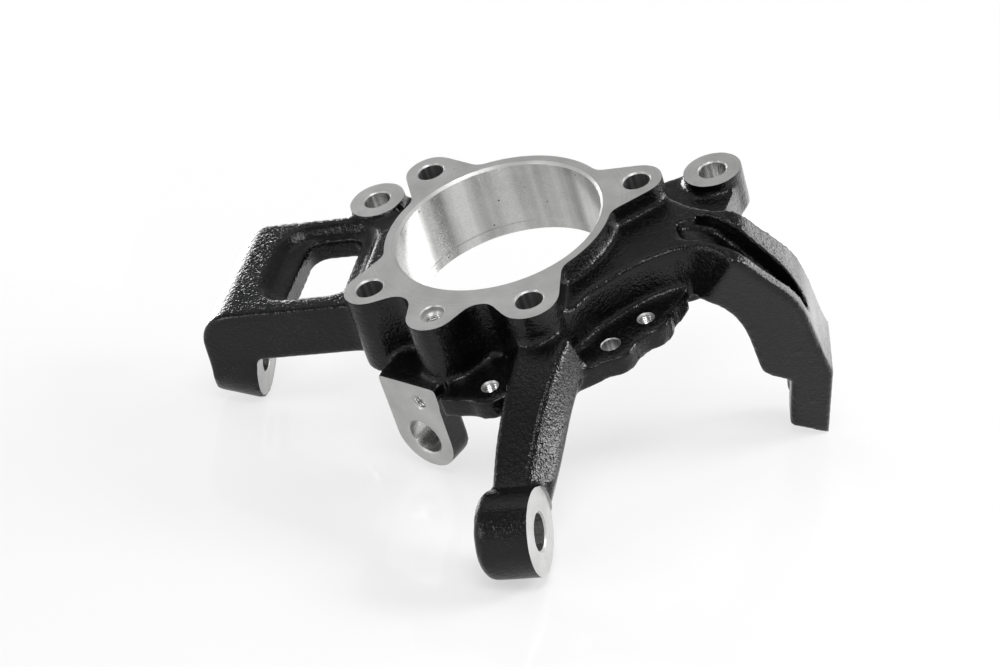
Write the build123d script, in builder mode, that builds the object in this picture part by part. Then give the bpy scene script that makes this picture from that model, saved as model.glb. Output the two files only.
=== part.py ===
"""Steering knuckle: one iron casting with a machined hub face, two ball joint seats, a steering arm,
two caliper ears and a speed sensor lug.

Frame: millimetres. The origin is the centre of the hub bore on the machined outboard face and +Z is the
bore axis, pointing outboard. +X runs to the upper (C-shaped) arm, -X to the lower arm, -Y to the
steering arm and +Y to the caliper ears.
"""

import os
from math import cos, radians, sin

from build123d import *

# Hub: bore, machined face, bolt lobes and the spot faces behind them
bore_d = 100.0
bore_chamfer = 1.3
relief_d = 101.0  # slightly wider inboard end of the bore
relief_z = -34.5
hub_depth = 41.0
ring_r = 55.5
skirt_r = 60.0  # the ring widens to this towards the flange
bolt_r = 68.5
bolt_hole_d = 13.0
hole_chamfer = 0.6
back_bolt_angle = 55.65  # either side of +Y
front_bolt_angle = 38.2  # either side of -Y
lobe_r = 12.6
steering_lobe_r = 14.2  # the lobe over the steering arm is a little fuller
lobe_root_r = 25.3  # each lobe spreads to this where it leaves the ring
lobe_reach = 38.5  # from the centre of that root out to the bolt hole
valley_r = 9.0
spotface_d = 24.0
spotface_depth = 0.8
boss_angle = -90.6  # extra threaded boss between the two front bolts
boss_recess_d = 11.2
boss_recess_depth = 2.5
tap_d = 6.8  # drilled size of every M8 thread

# Shield flange round the front of the hub, with a boss at each of its holes
flange_z = -30.5
flange_r = 93.0
flange_start = -87.0
flange_end = -2.0
flange_boss_r = 11.6
shield_r = 84.5
shield_tap_angles = (-17.0, -72.0)
shield_pin_angle = -32.0
shield_pin_d = 8.6

# Shelf between the hub ring and the upper arm
shelf_z = -9.5

# Lower arm: a plate with a window, a deep front beam and an end that bends down to the ball joint seat
lower_yaw = 14.0  # the arm runs along -X, turned by this much towards -Y
lower_z = -20.0
plate_thickness = 17.0
lower_front = -27.0
lower_back = 49.5
lower_end = 159.2
end_wall = 17.5
end_z = -57.5
bend_r = 18.3
corner_r = 18.0
beam_depth = 29.0
beam_width = 14.0
window_x = (85.0, 114.5)
window_y = (-13.5, 36.5)
window_r = 8.0
recess_x = (77.0, 125.0)
recess_y = (-13.5, 40.5)
recess_depth = 5.0
recess_r = 13.0
recess_bevel = 3.5
beam_round = 2.5
end_round = 5.5
flare_x = 67.0  # the beam's front face curves out here to meet the bolt column
flare_depth = 15.0
flare_r = 12.0
lower_joint = (-136.0, -8.0, -59.0)  # in the axes of the lower arm
kingpin_tilt = 12.4
caster = 3.5
seat_r = 22.0
seat_back_r = 18.5
seat_thickness = 24.0
lower_stud_d = 17.0

# Upper arm: a C-shaped channel that ends in the upper ball joint block
upper_yaw = 21.8
upper_lean = 10.5
upper_front = 47.5  # distance of its front face from the bore axis
upper_width = 34.0
front_rib = 7.5
upper_round = 2.0
joint_span = 270.3  # between the two ball joint centres along the steering axis
upper_stud_d = 16.0

# Steering arm and tie rod boss
tie_yaw = 14.3
tie_face = (75.0, -144.0, -54.0)
tie_r = 19.6
tie_length = 25.0
tie_hole_d = 16.5
tie_bevel = 3.0
steering_round = 3.0

# Caliper ears
ear_z = -18.5
ear_r = 14.4
ear_thickness = 22.5
ear_hole_d = 13.4
left_ear = (-93.5, 37.9)
right_ear = (77.1, 74.9)
web_z = -24.0
web_r = 13.0

# Speed sensor lug
sensor_angle = 258.0
lug_r = 85.0  # distance of its machined face from the bore axis
lug_width = 34.0
lug_thickness = 10.0
sensor_d = 18.5
sensor_z = -64.0
sensor_tap = (4.5, -41.4)
lug_round = 5.0

back_z = -hub_depth
bolt_angles = (90 - back_bolt_angle, 90 + back_bolt_angle, 270 - front_bolt_angle, 270 + front_bolt_angle)


def polar(radius, angle):
    return (radius * cos(radians(angle)), radius * sin(radians(angle)))


# Working planes of the two arms, the steering axis, the lug and the tie rod boss
lower_plane = Plane(origin=(0, 0, 0), x_dir=(*polar(1, lower_yaw), 0), z_dir=(0, 0, 1))
lower_side = Plane(
    origin=lower_plane.from_local_coords((0, lower_front, 0)),
    x_dir=lower_plane.x_dir,
    z_dir=-lower_plane.y_dir,
)
kingpin = lower_plane.x_dir.rotate(Axis(lower_plane.origin, lower_plane.y_dir), kingpin_tilt)
kingpin = kingpin.rotate(Axis.Z, caster)
seat_plane = Plane(
    origin=lower_plane.from_local_coords(lower_joint), x_dir=lower_plane.y_dir, z_dir=kingpin
)
upper_out = Vector(*polar(1, upper_yaw), 0)
upper_back = Vector(0, 0, 1).cross(upper_out).rotate(Axis((0, 0, 0), upper_out), upper_lean)
upper_plane = Plane(origin=upper_back * -upper_front, x_dir=upper_out, z_dir=upper_back)
root_plane = Plane(origin=upper_plane.origin, x_dir=upper_out, z_dir=-upper_plane.y_dir)
sensor_dir = Vector(*polar(1, sensor_angle))
lug_plane = Plane(origin=sensor_dir * lug_r, x_dir=Vector(0, 0, 1).cross(sensor_dir), z_dir=sensor_dir)
tie_dir = Vector(*polar(1, tie_yaw))
tie_plane = Plane(origin=tie_face, x_dir=Vector(0, 0, 1).cross(tie_dir), z_dir=tie_dir)

# Outline of the machined hub face: the ring and its five lobes with blended valleys
with BuildSketch() as lobe:
    with Locations((bolt_r, 0)):
        Circle(lobe_r)
    with Locations((bolt_r - lobe_reach, 0)):
        Circle(lobe_root_r)
    make_hull()
with BuildSketch() as steering_lobe:
    with Locations((bolt_r, 0)):
        Circle(steering_lobe_r)
    with Locations((bolt_r - lobe_reach, 0)):
        Circle(lobe_root_r)
    make_hull()
with BuildSketch() as hub_face:
    Circle(ring_r)
    for angle in (*bolt_angles[:3], boss_angle):
        add(lobe.sketch, rotation=angle)
    add(steering_lobe.sketch, rotation=bolt_angles[3])
    valleys = hub_face.vertices().filter_by(lambda v: abs(v.center().length - ring_r) < 3)
    fillet(valleys, valley_r)

# Channel of the upper arm: what its plan and its side view have in common
with BuildSketch(root_plane.offset(-150)) as channel_plan:
    with BuildLine():
        Polyline(
            (83.5, 34), (86.8, 22), (97.5, 16.5), (104, 12), (111, 8.6), (118, front_rib), (136, front_rib),
            (136, 11), (129, 17), (122, 20), (115, 21.5), (107, 26), (100, 31), (92, 34), close=True,
        )
    make_face()
with BuildSketch(upper_plane) as channel_side:
    with BuildLine():
        Polyline((78, -20), (80, 11), (101, 12), (110, 19), (118, 31), (126, 45), (140, 60), (150, -20), close=True)
    make_face()
channel = extrude(channel_plan.sketch, 200) & extrude(channel_side.sketch, 60)

with BuildPart() as knuckle:
    # Lower arm: plate and bent end in side view, with the deep beam along the front
    with BuildSketch(lower_side.offset(flare_depth)) as lower_profile:
        with BuildLine():
            top = Line((-45, lower_z), (bend_r - lower_end + 1.4, lower_z))
            bend = JernArc(start=top @ 1, tangent=top % 1, radius=bend_r, arc_size=80)
            Polyline(
                bend @ 1,
                (-lower_end, end_z),
                (-lower_end + end_wall, end_z),
                (-lower_end + end_wall, lower_z - plate_thickness - 8),
                (-lower_end + end_wall + 8, lower_z - plate_thickness),
                (-45, lower_z - plate_thickness),
                top @ 0,
            )
        make_face()
        fillet(lower_profile.vertices().sort_by(Axis.X)[:2].sort_by(Axis.Y)[0], end_round)
    extrude(amount=lower_front - lower_back - flare_depth)
    with BuildSketch(lower_side.offset(flare_depth)):
        with BuildLine():
            Polyline(
                (-45, lower_z - 4),
                (bend_r - lower_end, lower_z - 4),
                (-lower_end + 5, lower_z - bend_r),
                (-lower_end + 5, end_z + end_round),
                (-lower_end + end_round + 1, end_z),
                (-lower_end + end_wall, end_z),
                (-lower_end + end_wall + 1, end_z + 5),
                (-lower_end + end_wall + 8, lower_z - beam_depth),
                (-70, lower_z - beam_depth),
                (-56, back_z),
                (-45, back_z),
                close=True,
            )
        make_face()
    extrude(amount=-beam_width - flare_depth)

    # Its plan: square to the bent end, flaring into the bolt columns of the hub
    with BuildSketch(lower_plane) as lower_plan:
        with BuildLine():
            Polyline(
                (-lower_end - 1, lower_front),
                (-flare_x, lower_front),
                (-flare_x, lower_front - flare_depth),
                (-45, lower_front - flare_depth),
                (-45, 60),
                (-66, 60),
                (-90, lower_back),
                (-lower_end - 1, lower_back),
                close=True,
            )
        make_face()
        fillet(lower_plan.vertices().sort_by(Axis.X)[:2].sort_by(Axis.Y)[-1], corner_r)
        fillet(lower_plan.vertices().sort_by_distance((-flare_x, lower_front))[0], flare_r)
    extrude(amount=end_z - 5, mode=Mode.INTERSECT)
    beam_face = knuckle.faces().filter_by(lower_side).sort_by(Axis((0, 0, 0), lower_side.z_dir))[-2]
    fillet(beam_face.edges().sort_by(Axis((0, 0, 0), lower_plane.x_dir))[:-1], beam_round)

    # Sunken step round the window, then the window itself
    with BuildSketch(lower_plane.offset(lower_z)):
        with Locations((-(recess_x[0] + recess_x[1]) / 2, (recess_y[0] + recess_y[1]) / 2)):
            RectangleRounded(recess_x[1] - recess_x[0], recess_y[1] - recess_y[0], recess_r)
    extrude(amount=-recess_depth, mode=Mode.SUBTRACT)
    step_rim = knuckle.faces().filter_by(Axis.Z).sort_by(Axis.Z)[-1].inner_wires()[0].edges()
    chamfer(step_rim, recess_bevel)
    with BuildSketch(lower_plane.offset(lower_z)):
        with Locations((-(window_x[0] + window_x[1]) / 2, (window_y[0] + window_y[1]) / 2)):
            RectangleRounded(window_x[1] - window_x[0], window_y[1] - window_y[0], window_r)
    extrude(amount=-plate_thickness - beam_depth, mode=Mode.SUBTRACT)

    # Lower ball joint seat, square to the steering axis
    with Locations(seat_plane.offset(-seat_thickness)):
        Cone(seat_back_r, seat_r, seat_thickness, align=(Align.CENTER, Align.CENTER, Align.MIN))

    # Upper arm: C-shaped in side view
    with BuildSketch(upper_plane):
        with BuildLine():
            outer = Spline((96, 3), (103, 3), (111.3, 5.5), (119.8, 16.5), (133, 38.5), (137.3, 60), (141, 91.2))
            inner = Spline((91.7, 28.3), (104, 44.6), (107.2, 64), (108.2, 82))
            Polyline(outer @ 1, (131.4, 134.5), (114.2, 124), (117.5, 107), (120.4, 92.5), (111.2, 86), inner @ 1)
            Polyline(inner @ 0, (80, 26), (80, 7), outer @ 0)
        make_face()
    extrude(amount=upper_width)
    front = knuckle.faces(Select.LAST).filter_by(upper_plane).sort_by_distance(upper_plane.origin)[0]
    fillet([e for e in front.edges() if upper_plane.to_local_coords(e).center().X > 85], upper_round)

    # Shelf that carries the upper arm from the hub
    with BuildSketch(Plane.XY.offset(back_z)):
        with BuildLine():
            Polyline(
                (58, -50),
                (62.6, -33),
                (70.5, -19.5),
                (77.5, -10),
                (85.5, -3),
                (96, 4),
                (104, 3.5),
                (108, 16),
                (104, 29.5),
                (95, 32.5),
                (84, 34.5),
                (71, 40),
                (40, 40),
                (30, -50),
                close=True,
            )
        make_face()
    extrude(amount=shelf_z - back_z)

    # The front of the arm's root is trimmed back to the shelf
    with BuildSketch(root_plane.offset(6)):
        with BuildLine():
            Polyline((80, -5), (80, 14.6), (95, 15.5), (101.5, 13.5), (111, 8.5), (117, 0), (117, -5), close=True)
        make_face()
    with BuildSketch(root_plane.offset(-31)):
        with BuildLine():
            Polyline((80, -5), (80, 7.8), (84.5, 5.1), (86.6, 2.8), (88.3, 0.7), (90.7, 0), (90.7, -5), close=True)
        make_face()
    loft(ruled=True, mode=Mode.SUBTRACT)
    add(channel, mode=Mode.SUBTRACT)

    # Shield flange and its bosses
    with BuildSketch(Plane.XY.offset(back_z)):
        with BuildLine():
            start = Line((0, 0), polar(flange_r, flange_start))
            CenterArc((0, 0), flange_r, flange_start, flange_end - flange_start)
            Line(polar(flange_r, flange_end), start @ 0)
        make_face()
        with Locations(*(polar(shield_r, a) for a in (*shield_tap_angles, shield_pin_angle))):
            Circle(flange_boss_r)
    extrude(amount=flange_z - back_z)

    # Steering arm: a tapering trapezoid, then the tie rod boss
    for y, left, ridge, right, foot, top_z, side_z, bottom_z in (
        (-60, 36, 62, 67, 61, -14, -31, back_z),
        (-80, 39, 62, 68, 63, -18.5, -35, -45),
        (-100, 42, 62.5, 71, 66, -25.5, -41, -52),
        (-135, 51, 67.5, 75, 66, -38, -47, -68),
    ):
        with BuildSketch(Plane.XZ.offset(-y)):
            with BuildLine():
                Polyline(
                    (left, bottom_z), (left, top_z), (ridge, top_z), (right, side_z), (foot, bottom_z), close=True
                )
            make_face()
    loft()
    fillet(knuckle.edges(Select.LAST).sort_by(SortBy.LENGTH)[-5:], steering_round)
    with BuildSketch(tie_plane):
        Circle(tie_r)
    extrude(amount=-tie_length)
    tie_back = tie_plane.offset(-tie_length)
    chamfer(knuckle.edges().filter_by(GeomType.CIRCLE).sort_by_distance(tie_back.origin)[0], tie_bevel)
    with BuildSketch(tie_plane):
        Circle(tie_r + 1.5)
    extrude(amount=8, mode=Mode.SUBTRACT)

    # Root and plate of the sensor lug, its face machined flat
    with BuildSketch(Plane.XY.offset(back_z)):
        with BuildLine():
            Polyline(
                polar(50, -126), polar(lug_r, -116), polar(lug_r + 3, -90), polar(50, -86), close=True
            )
        make_face()
    extrude(amount=flange_z - back_z)
    corner = (*polar(lug_r - 8, -118), flange_z)
    fillet(knuckle.edges(Select.LAST).sort_by_distance(corner)[0], lug_round)
    with BuildSketch(lug_plane):
        with Locations((0, sensor_z)):
            Circle(lug_width / 2)
        with Locations((0, flange_z)):
            Rectangle(lug_width, 1, align=(Align.CENTER, Align.MAX))
        make_hull()
    extrude(amount=-lug_thickness)
    with BuildSketch(lug_plane):
        Rectangle(lug_width + 4, 200)
    extrude(amount=20, mode=Mode.SUBTRACT)

    # Caliper ears on their webs
    with BuildSketch(Plane.XY.offset(ear_z)):
        with Locations(left_ear, right_ear):
            Circle(ear_r)
    extrude(amount=-ear_thickness)
    for ear, foot in ((right_ear, (82, 22)), (left_ear, (-80, 22))):
        with BuildSketch(Plane.XY.offset(back_z)):
            with Locations(ear):
                Circle(web_r)
            with Locations(polar(bolt_r - lobe_reach, 90 + back_bolt_angle * (1 if ear[0] < 0 else -1))):
                Circle(lobe_root_r)
            with Locations(foot):
                Circle(web_r)
            make_hull()
        extrude(amount=web_z - back_z)

    # Hub: ring with its drafted skirt, and the lobes carried down as bolt columns
    with BuildSketch(Plane.XZ):
        with BuildLine():
            Polyline(
                (bore_d / 2 - 2, 0),
                (ring_r, 0),
                (skirt_r, flange_z),
                (skirt_r, back_z),
                (bore_d / 2 - 2, back_z),
                close=True,
            )
        make_face()
    revolve(axis=Axis.Z)
    extrude(hub_face.sketch, amount=-hub_depth)

    # Hub bore with its lead-in and wider inboard end
    with BuildSketch(Plane.XZ):
        with BuildLine():
            Polyline(
                (0, 0),
                (bore_d / 2 + bore_chamfer, 0),
                (bore_d / 2, -bore_chamfer),
                (bore_d / 2, relief_z),
                (relief_d / 2, relief_z),
                (relief_d / 2, back_z),
                (0, back_z),
                close=True,
            )
        make_face()
    revolve(axis=Axis.Z, mode=Mode.SUBTRACT)

    # Hub bolt holes with their spot faces behind, and the threaded boss beside them
    with Locations(*((*polar(bolt_r, a), 0) for a in bolt_angles)):
        CounterSinkHole(bolt_hole_d / 2, bolt_hole_d / 2 + hole_chamfer, counter_sink_angle=90)
    with Locations(*((*polar(bolt_r, a), back_z + spotface_depth) for a in bolt_angles)):
        Cylinder(spotface_d / 2, 10, align=(Align.CENTER, Align.CENTER, Align.MAX), mode=Mode.SUBTRACT)
    with Locations((*polar(bolt_r, boss_angle), 0)):
        CounterBoreHole(tap_d / 2, boss_recess_d / 2, boss_recess_depth)

    # Shield flange holes
    with Locations(*((*polar(shield_r, a), flange_z) for a in shield_tap_angles)):
        Hole(tap_d / 2)
    with Locations((*polar(shield_r, shield_pin_angle), flange_z)):
        Hole(shield_pin_d / 2)

    # Caliper ears, tie rod boss and the two ball joint seats
    with Locations(*((*ear, ear_z) for ear in (left_ear, right_ear))):
        CounterSinkHole(ear_hole_d / 2, ear_hole_d / 2 + hole_chamfer, counter_sink_angle=90)
    with Locations(tie_plane):
        Hole(tie_hole_d / 2, depth=tie_length + 10)
    with Locations(seat_plane):
        Hole(lower_stud_d / 2, depth=seat_thickness + 10)
    with Locations(seat_plane.offset(joint_span)):
        Cylinder(upper_stud_d / 2, 60, mode=Mode.SUBTRACT)

    # Sensor bore and its screw hole
    with Locations(lug_plane):
        with Locations((0, sensor_z)):
            Hole(sensor_d / 2, depth=lug_thickness + 5)
        with Locations(sensor_tap):
            Hole(tap_d / 2, depth=lug_thickness)

knuckle.part.label = "knuckle"
os.makedirs("parts", exist_ok=True)
export_step(knuckle.part, "parts/knuckle.step")
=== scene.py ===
"""Steering knuckle: a sand-cast body under gloss black coat, machined faces, bores and threads.

The rough casting is made first, with stock where it will be machined, and is then cut as in the shop:
faces, ball joint seats, holes and threads. Lengths are in millimetres until a mesh is built.
"""

import math

import bpy
import numpy as np
from mathutils import Matrix, Vector, noise


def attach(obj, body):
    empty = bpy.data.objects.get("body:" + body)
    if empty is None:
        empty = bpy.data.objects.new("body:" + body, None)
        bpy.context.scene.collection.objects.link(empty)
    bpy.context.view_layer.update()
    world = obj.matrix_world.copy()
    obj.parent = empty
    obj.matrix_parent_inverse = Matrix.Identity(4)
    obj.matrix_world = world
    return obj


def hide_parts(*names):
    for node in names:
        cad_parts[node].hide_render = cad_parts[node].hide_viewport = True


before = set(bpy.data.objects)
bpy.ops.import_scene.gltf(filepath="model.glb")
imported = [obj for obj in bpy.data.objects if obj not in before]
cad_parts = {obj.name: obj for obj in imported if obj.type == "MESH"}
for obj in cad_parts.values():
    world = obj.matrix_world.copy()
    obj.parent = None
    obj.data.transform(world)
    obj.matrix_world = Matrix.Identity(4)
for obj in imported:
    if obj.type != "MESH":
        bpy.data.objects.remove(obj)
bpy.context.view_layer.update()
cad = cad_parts["knuckle"]

MM = 0.001

# Material slots, in this order on the casting and on every cutter
CAST, TURNED, BORE, DRILLED, THREAD = range(5)


# ---------------------------------------------------------------- the part's own places

def polar(radius, angle, z):
    """A point round the hub's axis, its angle in degrees."""
    return Vector((radius * math.cos(math.radians(angle)), radius * math.sin(math.radians(angle)), z))


HUB = Vector((0, 0, 0))
UP = Vector((0, 0, 1))
HUB_BACK = -41.0
BOLT_CIRCLE_R, BOLT_HOLE_R = 68.5, 6.5
BOLTS = [polar(BOLT_CIRCLE_R, angle, 0) for angle in (34.35, 145.65, 231.8, 308.2)]
BOSS = polar(BOLT_CIRCLE_R, -90.6, 0)

FLANGE_FACE, FLANGE_DEPTH = -30.5, 10.5
SHIELD_CIRCLE_R, PIN_HOLE_R = 84.5, 4.3
SHIELD_TAPS = [polar(SHIELD_CIRCLE_R, angle, FLANGE_FACE) for angle in (-17, -72)]
SHIELD_PIN = polar(SHIELD_CIRCLE_R, -32, FLANGE_FACE)

EARS = (Vector((-93.5, 37.9, -18.5)), Vector((77.1, 74.9, -18.5)))
EAR_DEPTH, EAR_HOLE_R = 22.5, 6.7

# The steering axis runs from the lower ball joint's seat to the middle of the upper joint's bore.
# The upper bore ends UPPER_INNER towards the lower joint and UPPER_OUTER away from it.
STEER = Vector((0.931469, 0.293691, -0.214735))
LOWER_SEAT = Vector((-130.025, -40.664, -59.0))
LOWER_DEPTH, LOWER_BORE_R = 24.0, 8.5
JOINT_SPAN = 270.3
UPPER_SEAT = LOWER_SEAT + STEER * JOINT_SPAN
UPPER_INNER, UPPER_OUTER, UPPER_BORE_R = 10.6, 10.2, 8.0

TIE = Vector((0.969016, 0.246999, 0))
TIE_FACE = Vector((75.0, -144.0, -54.0))
TIE_LENGTH, TIE_BORE_R = 25.0, 8.25

# The sensor lug's face is square to LUG and lies LUG_R from the hub's axis
LUG = Vector((-0.207912, -0.978148, 0))
LUG_SIDE = UP.cross(LUG)
LUG_R = 85.0
LUG_THICK, CAD_LUG_THICK = 12.6, 10.0
SENSOR_BORE_R = 9.25
SENSOR = LUG * LUG_R + Vector((0, 0, -64.0))
SENSOR_TAP = LUG * LUG_R + LUG_SIDE * 4.5 + Vector((0, 0, -41.4))

# M8 thread, and the plain wall before its first row and after its last
PITCH, MINOR_R, MAJOR_R, MOUTH_R = 1.25, 3.4, 4.2, 4.3
ROWS_PER_TURN = 6
PLAIN_BEFORE, PLAIN_AFTER = 0.1, 0.3

# The threaded boss has a chamfered counterbore above its thread: radius and height
BOSS_MOUTH = ((6.2, 20), (6.2, 0), (5.6, -0.6), (5.6, -2.5), (4.6, -2.5))

# How far a hole's cutter runs on past its far end
OVERRUN = 2.0


# ---------------------------------------------------------------- turned shapes

def basis(axis):
    """Rotation whose third column is the axis."""
    axis = axis.normalized()
    side = Vector((0, 0, 1)).cross(axis) if abs(axis.z) < 0.9 else Vector((0, 1, 0)).cross(axis)
    side.normalize()
    return Matrix((side, axis.cross(side), axis)).transposed()


class Shape:
    """Closed turned solids that are built as one mesh, each face with its slot."""

    def __init__(self):
        self.verts, self.faces, self.slots = [], [], []

    def lathe(self, origin, axis, profile, slots, steps=64, wave=None):
        """Turns a profile of (radius, height), from its top to its bottom, round the axis."""
        turn = basis(axis)
        rings = []
        for r, h in profile:
            start = len(self.verts)
            if r == 0:
                self.verts.append(origin + turn @ Vector((0, 0, h)))
                rings.append([start] * steps)
                continue
            for k in range(steps):
                a = 2 * math.pi * k / steps
                radius = wave(r, h, a) if wave else r
                self.verts.append(origin + turn @ Vector((radius * math.cos(a), radius * math.sin(a), h)))
            rings.append(list(range(start, start + steps)))
        for top, low, slot in zip(rings, rings[1:], slots):
            for k in range(steps):
                n = (k + 1) % steps
                quad = [top[k], low[k], low[n], top[n]]
                face = [v for i, v in enumerate(quad) if v not in quad[:i]]
                if len(face) > 2:
                    self.faces.append(face)
                    self.slots.append(slot)

    def disc(self, origin, axis, r, top, low, slot=TURNED, steps=64):
        """A plain disc between two heights over the origin."""
        self.lathe(origin, axis, [(0, top), (r, top), (r, low), (0, low)], [slot] * 3, steps)

    def plain_hole(self, origin, axis, r, depth, lip, over, wall=BORE, steps=64):
        """A through hole with a lip chamfer at both ends. Its cutter starts this far over the face."""
        wide, end = r + lip, -depth
        profile = [
            (0, over), (wide, over), (wide, 0), (r, -lip),
            (r, end + lip), (wide, end), (wide, end - OVERRUN), (0, end - OVERRUN),
        ]
        self.lathe(origin, axis, profile, [TURNED] * 3 + [wall] + [TURNED] * 3, steps)

    def tapped_hole(self, origin, axis, depth, threaded, over, mouth=None, steps=36):
        """An M8 thread: the mouth and its lead-in, a helical V groove, and the drilled rest."""
        mouth = mouth or ((MOUTH_R, over), (MOUTH_R, 0))
        mouth_r, mouth_h = mouth[-1]
        lead_end = mouth_h - (mouth_r - MINOR_R)
        first = lead_end - PLAIN_BEFORE
        rows = []
        h = first
        while h > first - threaded:
            rows.append(h)
            h -= PITCH / ROWS_PER_TURN
        last = rows[-1]
        end = -depth - OVERRUN

        def groove(r, z, a):
            if r != MINOR_R or z > first or z < last:
                return r
            phase = (z / PITCH - a / (2 * math.pi)) % 1
            into = 1 - abs(2 * phase - 1)
            run_out = min(1, (first - z) / (0.5 * PITCH), (z - last) / (0.5 * PITCH))
            return r + (MAJOR_R - MINOR_R) * max(0, min(1, 1.25 * into - 0.1)) * max(0, run_out)

        profile = [
            (0, over), *mouth, (MINOR_R, lead_end), *((MINOR_R, row) for row in rows),
            (MINOR_R, last - PLAIN_AFTER), (MINOR_R, end), (0, end),
        ]
        slots = [TURNED] * (len(mouth) + 1) + [THREAD] * len(rows) + [DRILLED] * 3
        self.lathe(origin, axis, profile, slots, steps, groove)

    def build(self, name):
        """The solids as one object, in metres."""
        mesh = bpy.data.meshes.new(name)
        mesh.from_pydata([v * MM for v in self.verts], [], self.faces)
        mesh.polygons.foreach_set("material_index", self.slots)
        obj = bpy.data.objects.new(name, mesh)
        bpy.context.scene.collection.objects.link(obj)
        return obj


# ---------------------------------------------------------------- cutters and plugs

def face_cutters():
    """Everything that is faced flat: hub, ears, tie rod boss, sensor lug and the back spot faces."""
    cut = Shape()
    cut.disc(HUB, UP, r=96, top=12, low=0, steps=96)
    for ear in EARS:
        cut.disc(ear, UP, r=17, top=8, low=0)
    cut.disc(TIE_FACE, TIE, r=20.1, top=8, low=0)
    cut.disc(TIE_FACE - TIE * TIE_LENGTH, -TIE, r=14.5, top=4, low=-0.35)

    start = len(cut.verts)
    half, top, low = 20, -22, -90
    for away in (8, 0):
        for side, z in ((-half, top), (half, top), (half, low), (-half, low)):
            cut.verts.append(LUG * (LUG_R + away) + LUG_SIDE * side + Vector((0, 0, z)))
    for face in ((0, 3, 2, 1), (4, 5, 6, 7), (0, 1, 5, 4), (1, 2, 6, 5), (2, 3, 7, 6), (3, 0, 4, 7)):
        cut.faces.append([start + i for i in face])
        cut.slots.append(TURNED)

    for bolt in BOLTS:
        cut.disc(bolt + UP * HUB_BACK, -UP, r=12, top=4, low=-0.8)
    for ear in EARS:
        cut.disc(Vector((ear.x, ear.y, HUB_BACK)), -UP, r=12.5, top=4, low=-0.4)
    return cut


def seat_cutters():
    """Spot faces on both sides of the two ball joint seats."""
    cut = Shape()
    cut.disc(LOWER_SEAT, STEER, r=20.6, top=1.2, low=-0.3, steps=80)
    cut.disc(LOWER_SEAT - STEER * LOWER_DEPTH, -STEER, r=14.5, top=9, low=-0.5)
    cut.disc(UPPER_SEAT - STEER * UPPER_INNER, -STEER, r=14, top=6, low=-0.4)
    cut.disc(UPPER_SEAT + STEER * UPPER_OUTER, STEER, r=13, top=9, low=-0.2)
    return cut


def hole_cutters():
    """The hub bore with its lead-in, groove and relief, then every drilled, bored and tapped hole."""
    cut = Shape()
    mouth_r, bore_r, groove_r, land_r, relief_r = 51.3, 50, 50.7, 50.4, 52.1
    cut.lathe(
        HUB, UP,
        [(0, 20), (mouth_r, 20), (mouth_r, 0), (bore_r, -1.3), (bore_r, -34.1), (groove_r, -34.4),
         (land_r, -34.8), (land_r, -39.4), (relief_r, HUB_BACK), (relief_r, -60), (0, -60)],
        [TURNED, TURNED, TURNED, BORE, DRILLED, TURNED, BORE, TURNED, TURNED, TURNED],
        steps=192,
    )
    for bolt in BOLTS:
        cut.plain_hole(bolt, UP, BOLT_HOLE_R, depth=40.2, lip=0.8, over=20, wall=DRILLED, steps=48)
    cut.tapped_hole(BOSS, UP, depth=41, threaded=15, over=20, mouth=BOSS_MOUTH)
    for tap in SHIELD_TAPS:
        cut.tapped_hole(tap, UP, FLANGE_DEPTH, threaded=9.2, over=2)
    cut.plain_hole(SHIELD_PIN, UP, PIN_HOLE_R, FLANGE_DEPTH, lip=0.5, over=2, wall=DRILLED, steps=40)
    for ear in EARS:
        cut.plain_hole(ear, UP, EAR_HOLE_R, EAR_DEPTH, lip=0.7, over=20, steps=56)
    cut.plain_hole(TIE_FACE, TIE, TIE_BORE_R, TIE_LENGTH, lip=0.8, over=20)
    cut.plain_hole(SENSOR, LUG, SENSOR_BORE_R, LUG_THICK, lip=0.8, over=20)
    cut.tapped_hole(SENSOR_TAP, LUG, depth=10, threaded=9, over=20)
    cut.plain_hole(LOWER_SEAT, STEER, LOWER_BORE_R, LOWER_DEPTH + 0.6, lip=0.8, over=3)
    cut.plain_hole(UPPER_SEAT - STEER * UPPER_INNER, -STEER, UPPER_BORE_R, depth=21.0, lip=0.7, over=3)
    return cut


# What the casting has to spare on the hub, on the ears, and on the tie rod boss and the sensor lug
HUB_STOCK, EAR_STOCK, SIDE_STOCK = 2.4, 1.8, 2.0


def hole_plugs():
    """Plugs in the CAD body's own holes, so that the rough casting is solid before it is machined."""
    plug = Shape()
    plug.disc(HUB, UP, r=53, top=HUB_STOCK, low=HUB_BACK, slot=CAST, steps=96)
    for centre, r, top, low in (
        *((bolt, 8.6, HUB_STOCK, HUB_BACK) for bolt in BOLTS),
        (BOSS, 6.6, HUB_STOCK, HUB_BACK),
        *((hole, 4.6, 0, -FLANGE_DEPTH) for hole in (*SHIELD_TAPS, SHIELD_PIN)),
        *((ear, 8.4, EAR_STOCK, -EAR_DEPTH) for ear in EARS),
        *((bolt, 12.3, -39, HUB_BACK) for bolt in BOLTS),
    ):
        plug.disc(centre, UP, r, top, low, CAST, 40)
    for centre, axis, r, top, low in (
        (TIE_FACE, TIE, 9.6, SIDE_STOCK, -TIE_LENGTH),
        (SENSOR, LUG, 10.4, SIDE_STOCK, -LUG_THICK),
        (SENSOR_TAP, LUG, 4.6, SIDE_STOCK, -10),
        (LOWER_SEAT, STEER, 9.6, 0, -23.4),
        (UPPER_SEAT, STEER, 8.6, 9.6, -10.4),
    ):
        plug.disc(centre, axis, r, top, low, CAST, 40)
    return plug


# ---------------------------------------------------------------- the rough casting

# Corners closer than WELD are one corner, and a corner within ON_FACE of a face lies on it
WELD, ON_FACE = 0.002, 0.02


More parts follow.
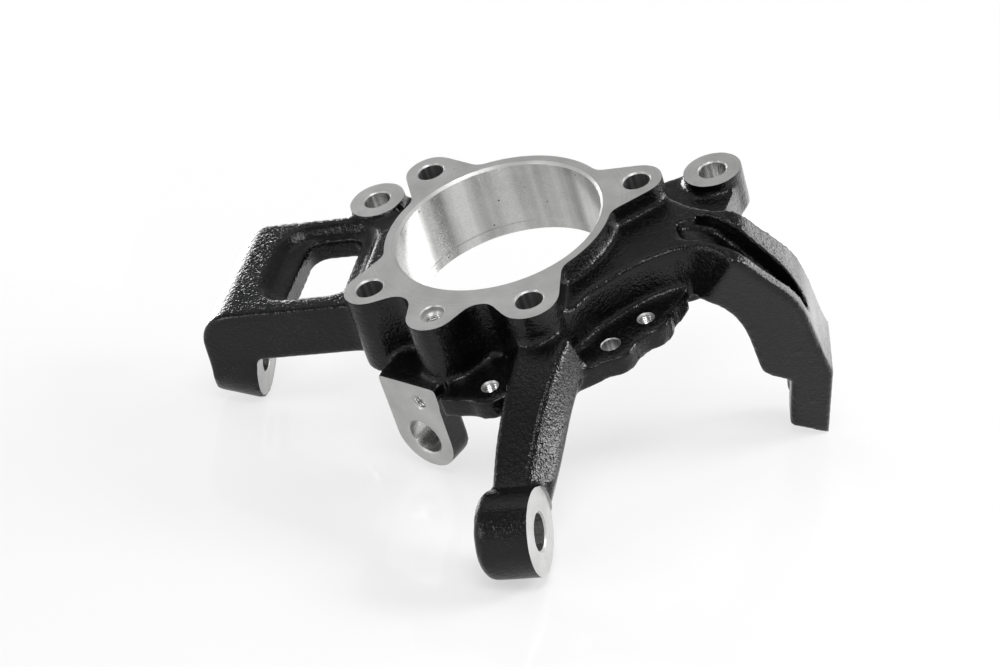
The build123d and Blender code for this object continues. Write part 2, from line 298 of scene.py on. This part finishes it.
def with_stock(points):
    """Moves the faces that will be machined outwards, by the allowance that a casting has there."""
    out = points.copy()
    for flat, normal, allowance, centre, reach in (
        (HUB, UP, HUB_STOCK, HUB, 90),
        *((ear, UP, EAR_STOCK, ear, 16) for ear in EARS),
        (TIE_FACE, TIE, SIDE_STOCK, TIE_FACE, 21),
        (LUG * LUG_R, LUG, SIDE_STOCK, SENSOR, 45),
        (LUG * (LUG_R - CAD_LUG_THICK), -LUG, LUG_THICK - CAD_LUG_THICK, SENSOR, 45),
    ):
        n = np.array(normal)
        on = np.abs((points - np.array(flat)) @ n) < ON_FACE
        near = np.linalg.norm(points - np.array(centre), axis=1) < reach
        out[on & near] += n * allowance
    return out


def joined_mesh(name, plugs):
    """The CAD body with its stock and its plugs, as one mesh of closed shells."""
    source = cad.data
    points = np.empty(len(source.vertices) * 3, np.float32)
    source.vertices.foreach_get("co", points)
    points = points.reshape(-1, 3) / MM
    keys = np.round(points / WELD).astype(np.int64)
    _, first, merged = np.unique(keys, axis=0, return_index=True, return_inverse=True)
    merged = merged.reshape(-1)
    body = with_stock(points[first])
    tris = [[int(merged[v]) for v in p.vertices] for p in source.polygons]
    tris = [t for t in tris if len(set(t)) == len(t)]
    verts = [tuple(p * MM) for p in body] + [tuple(v * MM) for v in plugs.verts]
    mesh = bpy.data.meshes.new(name)
    mesh.from_pydata(verts, [], tris + [[v + len(body) for v in f] for f in plugs.faces])
    return mesh


def settled(obj, name):
    """The object with its modifiers applied, as a plain object that takes its place."""
    graph = bpy.context.evaluated_depsgraph_get()
    mesh = bpy.data.meshes.new_from_object(obj.evaluated_get(graph), depsgraph=graph)
    out = bpy.data.objects.new(name, mesh)
    bpy.context.scene.collection.objects.link(out)
    bpy.data.objects.remove(obj)
    return out


def relax(mesh, rounds, share):
    """Rounds the edges and fills the corners, as sand moulding does."""
    count = len(mesh.vertices)
    points = np.empty(count * 3)
    mesh.vertices.foreach_get("co", points)
    points = points.reshape(-1, 3)
    edges = np.empty(len(mesh.edges) * 2, np.int32)
    mesh.edges.foreach_get("vertices", edges)
    a, b = edges.reshape(-1, 2).T
    neighbours = np.bincount(a, minlength=count) + np.bincount(b, minlength=count)
    for _ in range(rounds):
        total = np.stack([
            np.bincount(a, points[b, k], count) + np.bincount(b, points[a, k], count) for k in range(3)
        ], 1)
        points += share * (total / neighbours[:, None] - points)
    mesh.vertices.foreach_set("co", points.ravel())
    mesh.update()


# Pimples on the upper arm's face: place, radius and height
PIMPLES = (
    ((131.63, 16.4, -78.93), 1.5, 0.5),
    ((128.54, 22.13, -113.75), 1.4, 0.45),
    ((115.53, 5.97, -58.98), 1.3, 0.35),
)

# Waviness and sand grain: height in millimetres and waves per metre
WAVES = ((0.06, 90), (0.03, 330))

# The skin is lowered by this, so that its waves stay within the CAD body's size
SINK = 0.05


def roughen(mesh):
    """The skin that the sand leaves: a slow waviness, fine grains and a few pimples."""
    count = len(mesh.vertices)
    points, normals = np.empty(count * 3), np.empty(count * 3)
    mesh.vertices.foreach_get("co", points)
    mesh.vertices.foreach_get("normal", normals)
    points, normals = points.reshape(-1, 3), normals.reshape(-1, 3)
    waves = [sum(tall * noise.noise(Vector(p) * rate) for tall, rate in WAVES) for p in points]
    lift = np.array(waves) - SINK
    for place, r, tall in PIMPLES:
        lift += tall * np.exp(-(np.linalg.norm(points / MM - place, axis=1) / r) ** 2)
    mesh.vertices.foreach_set("co", (points + normals * lift[:, None] * MM).ravel())
    mesh.update()


# Grid of the remesh, coarse enough to blur the edges as sand does
VOXEL = 1.35

rough = bpy.data.objects.new("rough_casting", joined_mesh("rough_casting", hole_plugs()))
bpy.context.scene.collection.objects.link(rough)
sand = rough.modifiers.new("sand", "REMESH")
sand.mode = "VOXEL"
sand.voxel_size = VOXEL * MM
sand.use_smooth_shade = True
casting = settled(rough, "knuckle_casting")
relax(casting.data, rounds=3, share=0.6)
roughen(casting.data)


# ---------------------------------------------------------------- machining

for shape, name in (
    (face_cutters(), "face_cuts"), (seat_cutters(), "seat_cuts"), (hole_cutters(), "hole_cuts"),
):
    cutter = shape.build(name)
    cutter.data.validate()
    cut = casting.modifiers.new(name, "BOOLEAN")
    cut.operation = "DIFFERENCE"
    cut.solver = "MANIFOLD"
    cut.material_mode = "INDEX"
    cut.object = cutter
    casting = settled(casting, "knuckle_casting")
    bpy.data.objects.remove(cutter)

# The name was still taken when the last cut was made
casting.name = "knuckle_casting"

# What each tool cut: its origin and axis, its reach, and the lowest and highest place along the axis.
# A machined face belongs to the first tool here that reaches it.
TOOLS = (
    *((tap, UP, 6, -12, 1) for tap in SHIELD_TAPS),
    (SHIELD_PIN, UP, 6, -12, 1),
    (BOSS, UP, 6.1, -45, -0.05),
    (SENSOR, LUG, 10.5, -11, -0.05),
    (SENSOR_TAP, LUG, 5, -11, -0.05),
    *((bolt, UP, 13, -45, -0.05) for bolt in BOLTS),
    *((ear, UP, 17, -25, 1) for ear in EARS),
    (TIE_FACE, TIE, 24, -28, 1),
    (LOWER_SEAT, STEER, 22, -30, 3),
    (UPPER_SEAT, STEER, 17, -12, 12),
    (LUG * LUG_R, LUG, 100, -1, 1),
    (HUB, UP, 120, -60, 1),
)

# Machined faces that meet at more than this have a crisp edge between them
CRISP_ANGLE = math.radians(28)


def finish_mesh(mesh):
    """Makes machined edges crisp, and stores each machined corner's place in its tool's own frame."""
    polys = len(mesh.polygons)
    slots, totals = np.empty(polys, np.int32), np.empty(polys, np.int32)
    normals, centres = np.empty(polys * 3), np.empty(polys * 3)
    mesh.polygons.foreach_get("material_index", slots)
    mesh.polygons.foreach_get("loop_total", totals)
    mesh.polygons.foreach_get("normal", normals)
    mesh.polygons.foreach_get("center", centres)
    normals, centres = normals.reshape(-1, 3), centres.reshape(-1, 3) / MM
    corner_edge, corner_vert = np.empty(len(mesh.loops), np.int32), np.empty(len(mesh.loops), np.int32)
    mesh.loops.foreach_get("edge_index", corner_edge)
    mesh.loops.foreach_get("vertex_index", corner_vert)
    corner_poly = np.repeat(np.arange(polys), totals)
    machined = slots != CAST

    # The mesh is closed, so sorting the corners by edge puts the two faces of each edge side by side
    order = np.argsort(corner_edge, kind="stable")
    one, two = corner_poly[order][0::2], corner_poly[order][1::2]
    turn = np.einsum("ij,ij->i", normals[one], normals[two])
    skin_edge = machined[one] != machined[two]
    tool_edge = machined[one] & machined[two] & (turn < math.cos(CRISP_ANGLE))
    mesh.shade_smooth()
    sharp = mesh.attributes.new("sharp_edge", "BOOLEAN", "EDGE")
    sharp.data.foreach_set("value", (skin_edge | tool_edge)[:len(mesh.edges)])

    points = np.empty(len(mesh.vertices) * 3)
    mesh.vertices.foreach_get("co", points)
    points = points.reshape(-1, 3) / MM
    local = np.zeros((len(mesh.loops), 3))
    for origin, axis, reach, low, high in TOOLS:
        turned = np.array(basis(axis))
        seen = (centres - np.array(origin)) @ turned
        near = (np.hypot(seen[:, 0], seen[:, 1]) < reach) & (seen[:, 2] > low) & (seen[:, 2] < high)
        mine = machined & near
        machined &= ~mine
        corners = mine[corner_poly]
        local[corners] = ((points[corner_vert[corners]] - np.array(origin)) @ turned) * MM
    mesh.attributes.new("tool", "FLOAT_VECTOR", "CORNER").data.foreach_set("vector", local.ravel())


finish_mesh(casting.data)


# ---------------------------------------------------------------- node helpers

def new_group(name, inputs, outputs):
    """A node group with named sockets: its tree, what it is given and what it puts out."""
    tree = bpy.data.node_groups.new(name, "ShaderNodeTree")
    for label, kind, value in inputs:
        socket = tree.interface.new_socket(label, in_out="INPUT", socket_type=kind)
        socket.default_value = value
    for label, kind in outputs:
        tree.interface.new_socket(label, in_out="OUTPUT", socket_type=kind)
    return tree, tree.nodes.new("NodeGroupInput").outputs, tree.nodes.new("NodeGroupOutput").inputs


def node(tree, kind, links=None, **values):
    """Adds a node: values set its properties, links fill its sockets with a value or another socket."""
    made = tree.nodes.new(kind)
    for key, value in values.items():
        setattr(made, key, value)
    for key, value in (links or {}).items():
        if isinstance(value, bpy.types.NodeSocket):
            tree.links.new(value, made.inputs[key])
        else:
            made.inputs[key].default_value = value
    return made


def grain(tree, where, scale, detail=2.0, rough=0.5):
    links = {"Vector": where, "Scale": scale, "Detail": detail, "Roughness": rough}
    return node(tree, "ShaderNodeTexNoise", links).outputs[0]


def cells(tree, where, scale):
    return node(tree, "ShaderNodeTexVoronoi", {"Vector": where, "Scale": scale}).outputs["Distance"]


def maths(tree, operation, a, b=0.0, clamp=False):
    return node(tree, "ShaderNodeMath", {0: a, 1: b}, operation=operation, use_clamp=clamp).outputs[0]


def vector_maths(tree, operation, output, a, b=(0, 0, 0)):
    return node(tree, "ShaderNodeVectorMath", {0: a, 1: b}, operation=operation).outputs[output]


def spread(tree, value, low, high, to_low=0.0, to_high=1.0):
    """Maps low to to_low and high to to_high, and keeps to that range outside them."""
    links = {"Value": value, "From Min": low, "From Max": high, "To Min": to_low, "To Max": to_high}
    return node(tree, "ShaderNodeMapRange", links).outputs["Result"]


def blend(tree, share, a, b):
    return node(tree, "ShaderNodeMix", {0: share, 2: a, 3: b}, data_type="FLOAT").outputs[0]


def blend_colour(tree, share, a, b):
    return node(tree, "ShaderNodeMix", {0: share, 6: a, 7: b}, data_type="RGBA").outputs[2]


def grey(value, warmth=0.0):
    """A grey whose blue is lower by its warmth."""
    return (value, value, value - warmth, 1)


# ---------------------------------------------------------------- finishes

FLOAT, COLOUR = "NodeSocketFloat", "NodeSocketColor"
FINISH = (("Color", COLOUR), ("Roughness", FLOAT), ("Height", FLOAT))


def cast_skin_group():
    """Sand-cast skin: coarse dimples under fine grains, with pale specks painted on the high spots as
    glints.
    """
    tree, given, out = new_group(
        "cast_skin",
        (("Body", COLOUR, (0.0025, 0.0025, 0.0028, 1)), ("Glint Specks", COLOUR, grey(0.06)),
         ("Grain Scale", FLOAT, 820.0), ("Smooth", FLOAT, 0.12), ("Rough", FLOAT, 0.24)),
        FINISH,
    )
    where = node(tree, "ShaderNodeTexCoord").outputs["Object"]
    scale = given["Grain Scale"]
    coarse = grain(tree, where, maths(tree, "MULTIPLY", scale, 0.6), 2, 0.55)
    fine = grain(tree, where, maths(tree, "MULTIPLY", scale, 1.3), 1)
    slow = grain(tree, where, maths(tree, "MULTIPLY", scale, 0.06), 2)
    pits = cells(tree, where, maths(tree, "MULTIPLY", scale, 0.8))

    height = maths(tree, "ADD", maths(tree, "MULTIPLY", coarse, 0.5), maths(tree, "MULTIPLY", fine, 0.32))
    tree.links.new(maths(tree, "ADD", height, spread(tree, pits, 0.0, 0.4, -0.1, 0.03)), out["Height"])

    # Painted highlight: pale specks where the fine grain stands high, standing in for glints on the grain's
    # tops
    painted_glint = maths(tree, "MULTIPLY", spread(tree, fine, 0.55, 0.75), spread(tree, slow, 0.4, 0.7), clamp=True)
    painted_glint = maths(tree, "MULTIPLY", painted_glint, 0.35)
    tree.links.new(blend_colour(tree, painted_glint, given["Body"], given["Glint Specks"]), out["Color"])

    dull = maths(tree, "ADD", maths(tree, "MULTIPLY", slow, 0.7), maths(tree, "MULTIPLY", fine, 0.3))
    tree.links.new(spread(tree, dull, 0.3, 0.7, given["Smooth"], given["Rough"]), out["Roughness"])
    return tree


def tool_marks_group():
    """Marks of a cutter turning about the axis of its own hole or face, read from the tool attribute.

    Along 0 draws rings on a face and 1 draws them down a wall. Reflection Streaks are a painted reflection:
    light and dark streaks along the wall, set by the angle round the axis.
    """
    tree, given, out = new_group(
        "tool_marks",
        (("Bright", COLOUR, grey(0.52, 0.005)), ("Dull", COLOUR, grey(0.4, 0.005)),
         ("Pitch", FLOAT, 0.0009), ("Along", FLOAT, 0.0), ("Rings", FLOAT, 0.35), ("Pits", FLOAT, 0.3),
         ("Streaks", FLOAT, 0.0), ("Smooth", FLOAT, 0.3), ("Rough", FLOAT, 0.5)),
        FINISH,
    )
    place = node(tree, "ShaderNodeAttribute", attribute_name="tool").outputs["Vector"]
    x, y, z = node(tree, "ShaderNodeSeparateXYZ", {0: place}).outputs
    flat = node(tree, "ShaderNodeCombineXYZ", {0: x, 1: y}).outputs[0]
    radius = vector_maths(tree, "LENGTH", "Value", flat)
    travel = blend(tree, given["Along"], radius, z)
    turns = maths(tree, "DIVIDE", maths(tree, "MULTIPLY", travel, 2 * math.pi), given["Pitch"])
    rings = grain(tree, node(tree, "ShaderNodeCombineXYZ", {0: travel}).outputs[0], 900, 3, 0.7)
    cloud = grain(tree, place, 45, 3, 0.6)
    speck = grain(tree, place, 1800, 2, 0.6)

    height = maths(tree, "ADD", maths(tree, "MULTIPLY", maths(tree, "SINE", turns), 0.18), rings)
    tree.links.new(maths(tree, "ADD", height, maths(tree, "MULTIPLY", speck, 0.25)), out["Height"])

    share = spread(tree, blend(tree, given["Rings"], cloud, rings), 0.35, 0.65)
    # Painted reflection: streaks along the wall, lighter or darker by the angle round the axis, standing in
    # for the studio reflected in it
    facing = vector_maths(tree, "NORMALIZE", "Vector", flat)
    painted_streak = spread(tree, grain(tree, facing, 2.6, 3), 0.4, 0.62)
    share = blend(tree, given["Streaks"], share, painted_streak)
    metal = blend_colour(tree, share, given["Dull"], given["Bright"])

    pit = spread(tree, cells(tree, place, 210.0), 0.09, 0.13, 1.0, 0.0)
    pit = maths(tree, "MULTIPLY", pit, spread(tree, cloud, 0.5, 0.56))
    pit = maths(tree, "MULTIPLY", pit, given["Pits"])
    tree.links.new(blend_colour(tree, pit, metal, grey(0.02)), out["Color"])
    tree.links.new(spread(tree, speck, 0.3, 0.7, given["Smooth"], given["Rough"]), out["Roughness"])
    return tree


def material(name, group, given, relief, sockets):
    """A Principled material under a group's finish. Relief is the bump's strength and its distance."""
    made = bpy.data.materials.new(name)
    made.use_nodes = True
    tree = made.node_tree
    shader = tree.nodes["Principled BSDF"]
    finish = node(tree, "ShaderNodeGroup", given, node_tree=group).outputs
    strength, distance = relief
    links = {"Strength": strength, "Distance": distance, "Height": finish["Height"]}
    bump = node(tree, "ShaderNodeBump", links)
    tree.links.new(finish["Color"], shader.inputs["Base Color"])
    tree.links.new(finish["Roughness"], shader.inputs["Roughness"])
    tree.links.new(bump.outputs["Normal"], shader.inputs["Normal"])
    for key, value in sockets.items():
        shader.inputs[key].default_value = value
    if "Anisotropic" in sockets:
        # Grooves run round the bore, so its reflections are drawn out along the bore's axis
        along = node(
            tree, "ShaderNodeVectorTransform", {"Vector": UP},
            vector_type="VECTOR", convert_from="OBJECT", convert_to="WORLD",
        )
        tree.links.new(along.outputs["Vector"], shader.inputs["Tangent"])
    return made


cast_skin, tool_marks = cast_skin_group(), tool_marks_group()
finishes = (
    material("cast_black_coat", cast_skin, {}, (1.0, 0.00058), {"Specular IOR Level": 0.29}),
    material(
        "turned_face", tool_marks,
        {"Smooth": 0.36, "Rough": 0.5, "Bright": grey(0.57, 0.005), "Dull": grey(0.41, 0.005)},
        (0.25, 0.00006), {"Metallic": 0.7},
    ),
    # The bore's colour carries painted reflection streaks along its wall
    material(
        "honed_bore", tool_marks,
        {"Pitch": 0.0006, "Along": 1.0, "Rings": 0.15, "Pits": 0.8, "Streaks": 0.8,
         "Smooth": 0.26, "Rough": 0.3, "Bright": grey(0.72, 0.01), "Dull": grey(0.34, 0.005)},
        (0.02, 0.00002), {"Metallic": 0.95, "Anisotropic": 0.7},
    ),
    # The drilled walls' colour carries painted reflection streaks along them too
    material(
        "drilled_wall", tool_marks,
        {"Pitch": 0.0012, "Along": 1.0, "Streaks": 0.6, "Smooth": 0.28, "Rough": 0.45,
         "Bright": grey(0.42), "Dull": grey(0.12)},
        (0.3, 0.00008), {"Metallic": 0.8},
    ),
    material(
        "cut_thread", tool_marks,
        {"Pitch": 0.0004, "Along": 1.0, "Smooth": 0.2, "Rough": 0.3,
         "Bright": grey(0.78, 0.01), "Dull": grey(0.55)},
        (0.15, 0.00005), {"Metallic": 0.9},
    ),
)

# Clearing the materials would set every face to the first slot, so the slots are kept aside
slots = np.empty(len(casting.data.polygons), np.int32)
casting.data.polygons.foreach_get("material_index", slots)
casting.data.materials.clear()
for made in finishes:
    casting.data.materials.append(made)
casting.data.polygons.foreach_set("material_index", slots)

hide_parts("knuckle")
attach(casting, "root")


# ---------------------------------------------------------------- camera

CAMERA_PLACE = Vector((560.636, -781.440, 610.808)) * MM
CAMERA_RIGHT = Vector((0.86985778, 0.41999202, -0.25875500))
CAMERA_UP = Vector((-0.06999356, 0.62430934, 0.77803519))
CAMERA_BACK = Vector((0.48831173, -0.65866877, 0.57245707))
FOCAL_PIXELS, IMAGE_WIDTH = 2414.4956, 1000

camera_data = bpy.data.cameras.new("camera")
camera_data.sensor_width = 36
camera_data.lens = camera_data.sensor_width * FOCAL_PIXELS / IMAGE_WIDTH
camera_data.clip_start, camera_data.clip_end = 0.05, 50
camera = bpy.data.objects.new("camera", camera_data)
view_turn = Matrix((CAMERA_RIGHT, CAMERA_UP, CAMERA_BACK)).transposed()
camera.matrix_world = Matrix.Translation(CAMERA_PLACE) @ view_turn.to_4x4()
bpy.context.scene.collection.objects.link(camera)
bpy.context.scene.camera = camera


# ---------------------------------------------------------------- floor

# The knuckle lies on three points: the upper arm's foot, the tie rod boss and the lower seat
FLOOR_UP = Vector((0.133, 0.294, 0.9465)).normalized()
FLOOR_PLACE = FLOOR_UP * (-107.09 * MM)
FLOOR_R = 2.6
FLOOR_SIDES = 64

# The floor fades out between these shares of its radius
FADE_FROM, FADE_TO = 0.45, 0.95

# How much the floor glows by itself: for the camera between two places in metres behind its middle,
# and in mirrors
GLOW_FROM, GLOW_TO = -0.1, 0.3
GLOW_FRONT, GLOW_BACK, GLOW_MIRRORED = 0.55, 0.95, 0.3

floor_back = (-CAMERA_BACK + FLOOR_UP * CAMERA_BACK.dot(FLOOR_UP)).normalized()
floor_right = floor_back.cross(FLOOR_UP)


def studio(right, back, up):
    """A point of the studio: metres to the right of, behind and above the middle of the floor."""
    return FLOOR_PLACE + floor_right * right + floor_back * back + FLOOR_UP * up


def pale_floor():
    """Gloss white, faded out at its rim and from below, and brighter towards the back for the camera."""
    made = bpy.data.materials.new("pale_floor")
    made.use_nodes = True
    tree = made.node_tree
    shader = tree.nodes["Principled BSDF"]
    shader.inputs["Base Color"].default_value = grey(0.93)
    shader.inputs["Roughness"].default_value = 0.05
    shader.inputs["Specular IOR Level"].default_value = 0.9

    where = node(tree, "ShaderNodeTexCoord").outputs["Object"]
    back = vector_maths(tree, "DOT_PRODUCT", "Value", where, floor_back)
    glow = spread(tree, back, GLOW_FROM, GLOW_TO, GLOW_FRONT, GLOW_BACK)
    rays = node(tree, "ShaderNodeLightPath").outputs
    seen = maths(tree, "MAXIMUM", rays["Is Camera Ray"], rays["Is Transmission Ray"])
    mirrored = maths(tree, "MULTIPLY", rays["Is Glossy Ray"], GLOW_MIRRORED)
    share = maths(tree, "MAXIMUM", maths(tree, "MULTIPLY", seen, glow), mirrored)
    white = node(tree, "ShaderNodeEmission", {"Color": (1, 1, 1, 1), "Strength": 1.0}).outputs[0]
    lit = node(tree, "ShaderNodeMixShader", {0: share, 1: shader.outputs[0], 2: white}).outputs[0]

    away = vector_maths(tree, "LENGTH", "Value", where)
    rim = spread(tree, away, FADE_FROM * FLOOR_R, FADE_TO * FLOOR_R)
    hidden = maths(tree, "MAXIMUM", rim, node(tree, "ShaderNodeNewGeometry").outputs["Backfacing"])
    clear = node(tree, "ShaderNodeBsdfTransparent").outputs[0]
    mix = node(tree, "ShaderNodeMixShader", {0: hidden, 1: lit, 2: clear}).outputs[0]
    tree.links.new(mix, tree.nodes["Material Output"].inputs["Surface"])
    return made


def make_floor():
    mesh = bpy.data.meshes.new("floor")
    around = [2 * math.pi * k / FLOOR_SIDES for k in range(FLOOR_SIDES)]
    rim = [studio(FLOOR_R * math.cos(a), FLOOR_R * math.sin(a), 0) for a in around]
    mesh.from_pydata(rim, [], [range(FLOOR_SIDES)])
    obj = bpy.data.objects.new("floor", mesh)
    bpy.context.scene.collection.objects.link(obj)
    if mesh.polygons[0].normal.dot(FLOOR_UP) < 0:
        mesh.flip_normals()
    mesh.materials.append(pale_floor())


make_floor()


# ---------------------------------------------------------------- lamps and world

def softbox(name, place, width, height, watts, aim=None):
    """A rectangular lamp that the camera doesn't see, aimed at the knuckle unless told otherwise."""
    data = bpy.data.lights.new(name, "AREA")
    data.shape, data.size, data.size_y, data.energy = "RECTANGLE", width, height, watts
    obj = bpy.data.objects.new(name, data)
    obj.location = place
    obj.visible_camera = False
    obj.rotation_euler = (place - (aim or studio(0, 0, 0.1))).to_track_quat("Z", "Y").to_euler()
    bpy.context.scene.collection.objects.link(obj)


softbox("overhead", studio(-0.3, 0.4, 1.5), 1.2, 0.6, 2)
softbox("back_left", studio(-0.7, 1.21, 0.19), 0.8, 0.36, 12)
softbox("right_back", studio(1.25, 0.66, 0.28), 1.1, 0.55, 7.5)
softbox("right_high", studio(1.2, 0.1, 0.72), 0.5, 0.4, 11)
panel = studio(0.33, 0.22, 0.004)
softbox("floor_panel", panel, 0.35, 0.3, 0.42, panel - FLOOR_UP)
softbox("left_front", studio(-1.15, -0.6, 0.5), 0.4, 0.4, 3)
softbox("front_high", studio(0.05, -0.69, 1.1), 0.6, 0.35, 6)

# White to the camera, white at the horizon and dimmer overhead in mirrors, and a plain fill for the rest
FILL, OVERHEAD = 0.34, 0.36
HORIZON_TOP, OVERHEAD_FROM = 0.15, 0.5
world = bpy.data.worlds.new("studio")
world.use_nodes = True
bpy.context.scene.world = world
sky = world.node_tree
rays = node(sky, "ShaderNodeLightPath").outputs
direction = node(sky, "ShaderNodeTexCoord").outputs["Generated"]
height = vector_maths(sky, "DOT_PRODUCT", "Value", direction, FLOOR_UP)
backdrop = spread(sky, height, HORIZON_TOP, OVERHEAD_FROM, 1.0, OVERHEAD)
mirror_ray = maths(sky, "MAXIMUM", rays["Is Glossy Ray"], rays["Is Transmission Ray"])
mirrored = maths(sky, "MULTIPLY", mirror_ray, backdrop)
fill = spread(sky, mirror_ray, 0, 1, FILL, 0)
strength = maths(sky, "MAXIMUM", rays["Is Camera Ray"], maths(sky, "ADD", mirrored, fill))
background = sky.nodes["Background"]
background.inputs["Color"].default_value = (1, 1, 1, 1)
sky.links.new(strength, background.inputs["Strength"])

bpy.context.scene.view_settings.view_transform = "Standard"
